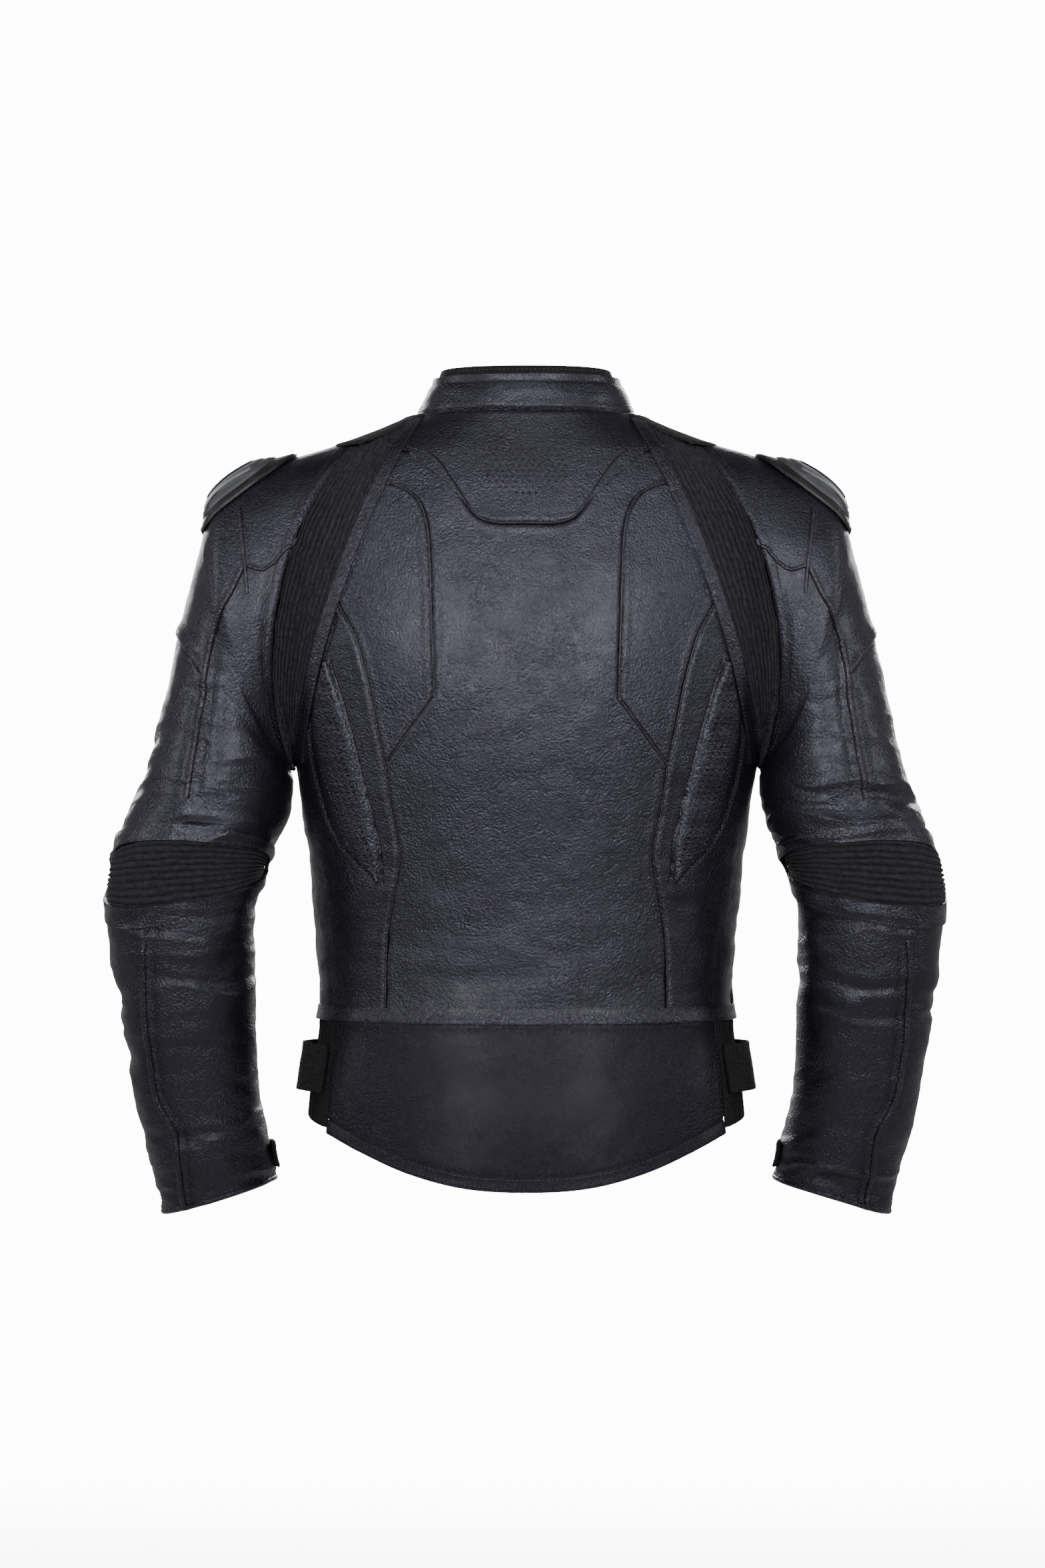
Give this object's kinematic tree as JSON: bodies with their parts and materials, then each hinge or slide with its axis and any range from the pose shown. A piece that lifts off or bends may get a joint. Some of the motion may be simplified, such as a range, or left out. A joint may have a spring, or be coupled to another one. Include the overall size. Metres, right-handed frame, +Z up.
{
  "type": "leather riding jacket",
  "caption": "Fitted leather riding jacket in its worn shape, arms hanging bent, with stretch strips, shoulder cups, hip straps, opening fronts and bending sleeves.",
  "frame": {"origin": "centre back of the neckline, where the collar is sewn on and the wearer's nape or a hanger holds the jacket up", "axes": "+X to the wearer's right, +Y to the wearer's front, +Z up"},
  "size_m": [0.6844, 0.2445, 0.694],
  "materials": {
    "leather": "pebbled full grain with a soft sheen",
    "stretch_knit": "ribbed stretch weave",
    "lining_cloth": "matte mesh",
    "zip_tape_cloth": "matte woven tape",
    "armour_plastic": "satin moulded",
    "protector_foam": "matte foam",
    "zip_metal": "gunmetal satin",
    "hook_and_loop": "matte fuzzy loop"
  },
  "bodies": {
    "body": {"lining_back": "lining_cloth", "back_yoke": "leather", "back_centre": "leather", "blade_panel_right": "leather", "blade_panel_left": "leather", "side_back_right": "leather", "side_back_left": "leather", "tail_panel": "leather", "side_front_right": "leather", "side_front_left": "leather", "hip_knit_right": "stretch_knit", "hip_knit_left": "stretch_knit", "rear_strap_right": "hook_and_loop", "rear_strap_left": "hook_and_loop", "collar_back": "leather", "hanger_loop": "lining_cloth", "back_protector": "protector_foam", "rear_stretch_right": "stretch_knit", "rear_stretch_left": "stretch_knit", "shoulder_knit_right": "stretch_knit", "shoulder_knit_left": "stretch_knit", "pocket_zip_right": "zip_tape_cloth", "pocket_zip_left": "zip_tape_cloth"},
    "front_right": {"front_panel_right": "leather", "front_lining_right": "lining_cloth", "collar_front_right": "leather", "zip_tape_right": "zip_tape_cloth"},
    "front_left": {"front_panel_left": "leather", "front_lining_left": "lining_cloth", "collar_front_left": "leather", "zip_tape_left": "zip_tape_cloth", "wind_flap": "lining_cloth"},
    "zip_slider": {"zip_slider": "zip_metal"},
    "zip_pull": {"zip_pull": "zip_metal"},
    "upper_arm_right": {"shoulder_panel_right": "leather", "upper_sleeve_right": "leather", "lining_upper_sleeve_right": "lining_cloth", "cup_base_right": "armour_plastic", "cup_shell_right": "armour_plastic", "elbow_stretch_right": "stretch_knit", "elbow_inner_right": "leather"},
    "forearm_right": {"lower_sleeve_right": "leather", "lining_lower_sleeve_right": "lining_cloth", "elbow_protector_right": "protector_foam"},
    "cuff_tab_right": {"cuff_tab_right": "hook_and_loop"},
    "waist_tab_right": {"waist_tab_right": "hook_and_loop"},
    "pocket_slider_right": {"pocket_slider_right": "zip_metal"},
    "upper_arm_left": {"shoulder_panel_left": "leather", "upper_sleeve_left": "leather", "lining_upper_sleeve_left": "lining_cloth", "cup_base_left": "armour_plastic", "cup_shell_left": "armour_plastic", "elbow_stretch_left": "stretch_knit", "elbow_inner_left": "leather"},
    "forearm_left": {"lower_sleeve_left": "leather", "lining_lower_sleeve_left": "lining_cloth", "elbow_protector_left": "protector_foam"},
    "cuff_tab_left": {"cuff_tab_left": "hook_and_loop"},
    "waist_tab_left": {"waist_tab_left": "hook_and_loop"},
    "pocket_slider_left": {"pocket_slider_left": "zip_metal"}
  },
  "joints": [
    {"name": "shoulder_right", "type": "hinge", "parent": "body", "child": "upper_arm_right", "pos_m": [0.165, 0.066, -0.155], "axis": [0.9788, 0, 0.205], "range_deg": [-10, 30], "deforming": ["rear_stretch_right", "shoulder_knit_right"]},
    {"name": "elbow_right", "type": "hinge", "parent": "upper_arm_right", "child": "forearm_right", "pos_m": [0.28, 0.06, -0.383], "axis": [0.981, 0, 0.194], "range_deg": [0, 60], "deforming": ["elbow_stretch_right", "elbow_inner_right"]},
    {"name": "front_open_right", "type": "hinge", "parent": "body", "child": "front_right", "pos_m": [0.08, 0.149, -0.1], "axis": [0, 0.0783, -0.9969], "range_deg": [0, 50]},
    {"name": "waist_tab_right", "type": "hinge", "parent": "body", "child": "waist_tab_right", "pos_m": [0.118, 0.1755, -0.537], "axis": [0, 0, 1], "range_deg": [0, 80]},
    {"name": "cuff_tab_right", "type": "hinge", "parent": "forearm_right", "child": "cuff_tab_right", "pos_m": [0.2295, 0.1315, -0.6172], "axis": [-0.163, 0.087, -0.9828], "range_deg": [0, 70]},
    {"name": "pocket_slide_right", "type": "slide", "parent": "body", "child": "pocket_slider_right", "axis": [0.1221, 0.01, -0.9925], "range_m": [0, 0.08]},
    {"name": "shoulder_left", "type": "hinge", "parent": "body", "child": "upper_arm_left", "pos_m": [-0.165, 0.066, -0.155], "axis": [0.9788, 0, -0.205], "range_deg": [-10, 30], "deforming": ["rear_stretch_left", "shoulder_knit_left"]},
    {"name": "elbow_left", "type": "hinge", "parent": "upper_arm_left", "child": "forearm_left", "pos_m": [-0.28, 0.06, -0.383], "axis": [0.981, 0, -0.194], "range_deg": [0, 60], "deforming": ["elbow_stretch_left", "elbow_inner_left"]},
    {"name": "front_open_left", "type": "hinge", "parent": "body", "child": "front_left", "pos_m": [-0.08, 0.149, -0.1], "axis": [0, -0.0783, 0.9969], "range_deg": [0, 50]},
    {"name": "waist_tab_left", "type": "hinge", "parent": "body", "child": "waist_tab_left", "pos_m": [-0.118, 0.1755, -0.537], "axis": [0, 0, -1], "range_deg": [0, 80]},
    {"name": "cuff_tab_left", "type": "hinge", "parent": "forearm_left", "child": "cuff_tab_left", "pos_m": [-0.2295, 0.1315, -0.6172], "axis": [-0.163, -0.087, 0.9828], "range_deg": [0, 70]},
    {"name": "pocket_slide_left", "type": "slide", "parent": "body", "child": "pocket_slider_left", "axis": [-0.1221, 0.01, -0.9925], "range_m": [0, 0.08]},
    {"name": "zip_slide", "type": "slide", "parent": "front_left", "child": "zip_slider", "axis": [0, -0.0854, 0.9963], "range_m": [0, 0.44]},
    {"name": "zip_pull_hang", "type": "hinge", "parent": "zip_slider", "child": "zip_pull", "pos_m": [-0.005, 0.19421, -0.54124], "axis": [1, 0, 0], "range_deg": [0, 100]}
  ]
}
